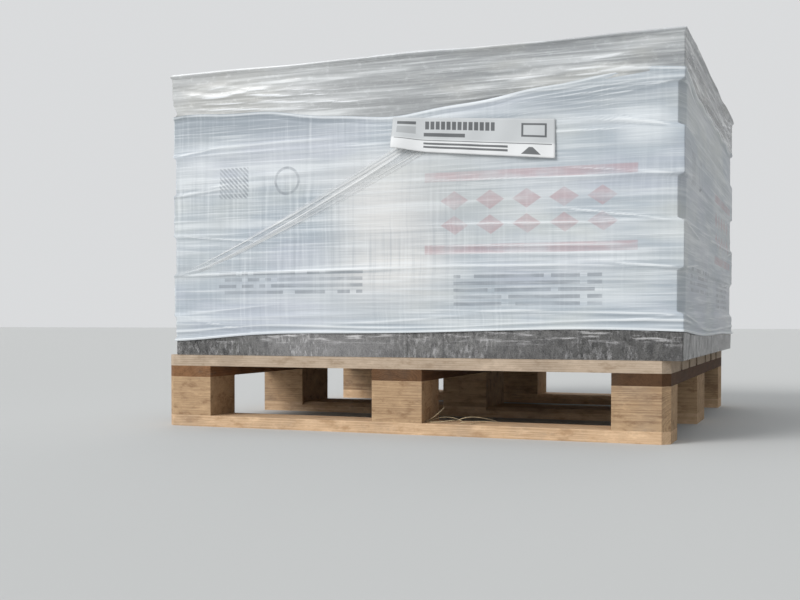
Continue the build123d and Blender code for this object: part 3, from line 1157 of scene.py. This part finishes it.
# %% Tail's surface
tail_white = (0.62, 0.63, 0.64)
tail_ridge = (0.84, 0.84, 0.83)


def tail_surface():
    """The same film drawn out to a bundle, half clear, with bright ridges along it."""
    material, film = new_recipe("white_film_tail")
    flat, u, v = film_place(film)
    strands = film.noise(flat, (2.0, 11.0))
    from_edge = film.minus(1.0, film.calc("ABSOLUTE", film.minus(film.times(v, 2.0), 1.0)))
    cover_share = film.times(film.ramp(from_edge, 0.0, 0.35), film.ramp(u, 1.0, 0.8),
                             film.ramp(strands, 0.40, 0.62, 0.10, 0.70))
    colour = film.paint(tail_white, (film.ramp(strands, 0.40, 0.62), tail_ridge))
    film.show(film.covering(cover_share, film.surface(colour, 0.3)))
    return material


tail.data.materials.append(tail_surface())
print("the tail has its surface")

# %% [markdown]
# ## What the clear film looks like
#
# Clear film shows where it is hazy, dusty or creased, and elsewhere the stones are seen through
# it. Glass would bend and dim what lies behind, which film this thin doesn't do, so one number,
# the haze, mixes a whitish surface with a fully transparent one. Near the top many turns lie over
# each other, so the haze is thick there and streaked along the film. Creases are whiter, partly
# the film's own whitening and partly painted highlight, and the roll over the rim has a painted
# highlight on top and a painted shade line under it. The lowest strip has few turns: it is almost
# clear, with smears, damp dark flecks and painted glints below the white hem.

# %% Clear film's surface
haze_grey = (0.43, 0.445, 0.455)
haze_white = (0.72, 0.725, 0.72)
haze_cream = (0.68, 0.66, 0.60)
streak_white = (0.80, 0.81, 0.81)
wrinkle_white = (0.84, 0.85, 0.85)
strip_dust = (0.80, 0.77, 0.765)
crease_highlight = (0.86, 0.87, 0.88)
damp_dark = (0.035, 0.034, 0.034)


def clear_film_surface():
    """Clear film, hazy where it lies in many layers and white along its creases."""
    material, film = new_recipe("clear_stretch_film")
    flat, u, v = film_place(film)
    crease = film.node("Attribute", attribute_name="crest").outputs["Fac"]
    # Outward creases and the lap's gathers are whiter: part whitening, part painted highlight.
    ridges = film.times(film.ramp(crease, 15.0, 130.0), film.ramp(u, 0.40, 0.70, 1.0, 0.66))
    rising = film.noise(flat, (4.0, 60.0), detail=4.0, roughness=0.6, turn=0.10)
    falling = film.noise(flat, (4.0, 60.0), detail=4.0, roughness=0.6, turn=-0.12, shift=(2, 7))
    streaks = film.calc("MAXIMUM", rising, falling)
    leftmost = film.plus(film.ramp(u, 0.0, 0.75, 1.0, 0.0), film.ramp(u, 3.4 * side_length, perimeter))
    wrinkles, dull = fine_lines(film, flat, 0.09, (5, 2))
    crinkle = film.noise(flat, (60.0, 95.0), detail=5.0, roughness=0.7, shift=(4, 4))
    cream = film.noise(flat, (3.5, 9.0), shift=(2, 9))
    patches = film.ramp(film.noise(flat, (6.0, 6.0), detail=2.0, shift=(8, 3)), 0.40, 0.60, 0.35, 1.0)
    smears = film.noise(flat, (130.0, 42.0), detail=5.0, roughness=0.75, shift=(3, 1))
    damp = film.noise(flat, (95.0, 38.0), detail=5.0, roughness=0.75, shift=(1, 8))
    # Glints under the white hem are painted highlights.
    glints = film.noise(flat, (16.0, 150.0), detail=4.0, roughness=0.65, shift=(6, 2))
    near_hem = film.ramp(v, 0.163, 0.182)
    pale_part = film.plus(film.band(u, 0.20, 0.48, 0.09), film.times(film.band(u, 0.50, 0.80, 0.09), 0.3))
    high = film.ramp(v, load_base + 0.08, load_top - 0.12)
    low = film.minus(1.0, high)
    haze = film.plus(
        film.ramp(high, 0.0, 1.0, 0.03, 0.70),
        film.times(high, film.ramp(streaks, 0.50, 0.74, 0.0, 0.18)),
        film.times(high, wrinkles, 0.22),
        film.times(high, dull, -0.15),
        film.times(high, film.ramp(crinkle, 0.50, 0.74, 0.0, 0.20)),
        film.times(low, patches, film.ramp(smears, 0.47, 0.72, 0.0, 0.42)),
        film.times(low, near_hem, film.ramp(glints, 0.50, 0.68, 0.0, 0.55)),
        film.times(low, pale_part, 0.18),
        film.times(ridges, 0.45),
    )
    # Where the crest mark is a deep hollow, just under the rim's roll, the film clears: a painted shade line.
    haze = film.minus(haze, film.ramp(crease, -150.0, -190.0, 0.0, 0.40), clamp=True)
    damp_share = film.times(low, film.ramp(damp, 0.47, 0.66, 0.0, 0.62))
    colour = film.paint(
        haze_grey,
        (leftmost, haze_white),
        (film.ramp(cream, 0.48, 0.66, 0.0, 0.45), haze_cream),
        (film.times(high, film.ramp(streaks, 0.52, 0.76, 0.0, 0.5)), streak_white),
        (film.times(high, wrinkles, 0.4), wrinkle_white),
        (film.times(low, 0.8), strip_dust),
        (ridges, crease_highlight),
        (film.calc("DIVIDE", damp_share, film.plus(haze, damp_share)), damp_dark),
    )
    fresnel = film.node("Fresnel", {"IOR": 1.45}).outputs[0]
    share = film.calc("MAXIMUM", film.plus(haze, damp_share, clamp=True), fresnel, clamp=True)
    film.show(film.covering(share, film.surface(colour, 0.25)))
    return material


clear_film.data.materials.append(clear_film_surface())
print("the clear film has its surface")

# %% [markdown]
# ## What the label looks like
#
# The label is plain paper with a grey upper part, and on it are blocks, bars and a box, like those
# of a printed form. A table gives each plain mark its place on the label, as shares of its width
# and height, and how strong its ink is, so one loop draws them all. A mark with a negative ink
# takes ink away again, which leaves a frame. The barred parts and the wedge follow.

# %% Label's surface
label_white = (0.76, 0.76, 0.76)
label_grey = (0.40, 0.42, 0.43)
label_ink = (0.05, 0.055, 0.06)
plain_marks = {
    "rule": ((0.02, 0.98), (0.335, 0.355), 0.006, 1.0),
    "block": ((0.03, 0.15), (0.52, 0.74), 0.010, 0.35),
    "header": ((0.03, 0.15), (0.80, 0.89), 0.010, 1.0),
    "thin bar": ((0.20, 0.46), (0.455, 0.56), 0.008, 1.0),
    "frame": ((0.80, 0.95), (0.52, 0.88), 0.010, 1.0),
    "inside of the frame": ((0.812, 0.938), (0.57, 0.83), 0.010, -1.0),
}


def paper_surface():
    """White paper with ruled lines, boxes and bars, greyer above."""
    material, paper = new_recipe("label_paper_sheet")
    _, u, v = film_place(paper)
    marks = [paper.times(paper.patch(u, v, across, up, 0.002, soft), ink)
             for across, up, soft, ink in plain_marks.values()]
    steps = paper.times(paper.patch(u, v, (0.20, 0.64), (0.66, 0.89), 0.002, 0.010),
                        paper.ramp(paper.cells(u, 0.034), 0.35, 0.39, 1.0, 0.0))
    foot = paper.times(paper.patch(u, v, (0.20, 0.72), (0.10, 0.30), 0.002, 0.010),
                       paper.ramp(paper.cells(v, 0.10), 0.27, 0.33, 1.0, 0.0))
    slant = paper.times(v, 0.25)
    wedge = paper.times(paper.band(v, 0.07, 0.26, 0.01), paper.ramp(paper.minus(u, slant), 0.780, 0.784),
                        paper.ramp(paper.plus(u, slant), 0.936, 0.932))
    ink = paper.plus(*marks, steps, foot, wedge, clamp=True)
    greyer = paper.ramp(v, 0.30, 0.42, 0.0, 0.62)
    colour = paper.paint(label_white, (greyer, label_grey), (paper.times(ink, 0.88), label_ink))
    paper.show(paper.surface(colour, 0.55))
    return material


label.data.materials.append(paper_surface())
print("the label has", len(plain_marks) + 3, "kinds of mark")
